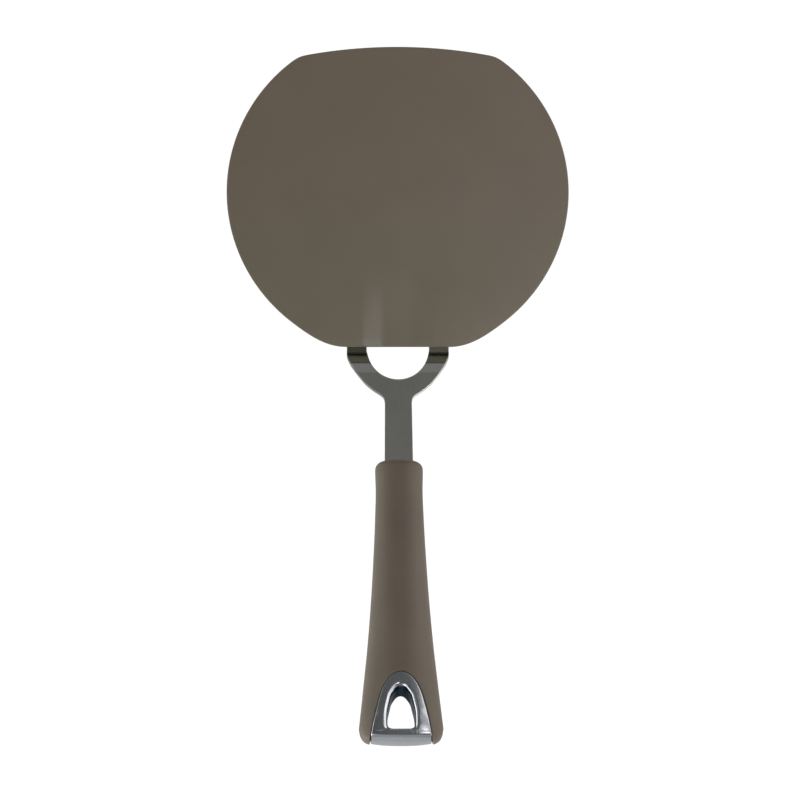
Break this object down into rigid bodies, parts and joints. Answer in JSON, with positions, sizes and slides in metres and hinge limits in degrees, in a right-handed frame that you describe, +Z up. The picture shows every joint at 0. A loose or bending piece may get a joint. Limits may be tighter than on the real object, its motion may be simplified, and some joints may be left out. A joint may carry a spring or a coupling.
{
  "type": "nylon turner",
  "caption": "Wide round nylon turner blade on a forked steel shank, with a soft oval handle that ends in a metal hanging loop.",
  "frame": {"origin": "centre of the blade's ellipse on its flat underside, at the mount blade_rest", "axes": "+Y towards the blade's front edge, with the shank and handle towards -Y; +Z up from the blade, and the handle rises at 23 degrees towards -Y; +X to the right seen from above with the front edge up"},
  "size_m": [0.1642, 0.3294, 0.0882],
  "materials": {
    "blade_nylon": "satin",
    "shank_steel": "satin",
    "rivet_steel": "satin",
    "loop_metal": "satin",
    "core_plastic": "matte",
    "grip_elastomer": "matte"
  },
  "bodies": {
    "root": {"blade": "blade_nylon", "fork_shank": "shank_steel", "tang_rivets": "rivet_steel", "end_cap": "loop_metal", "handle_core": "core_plastic", "soft_grip": "grip_elastomer"}
  },
  "joints": []
}
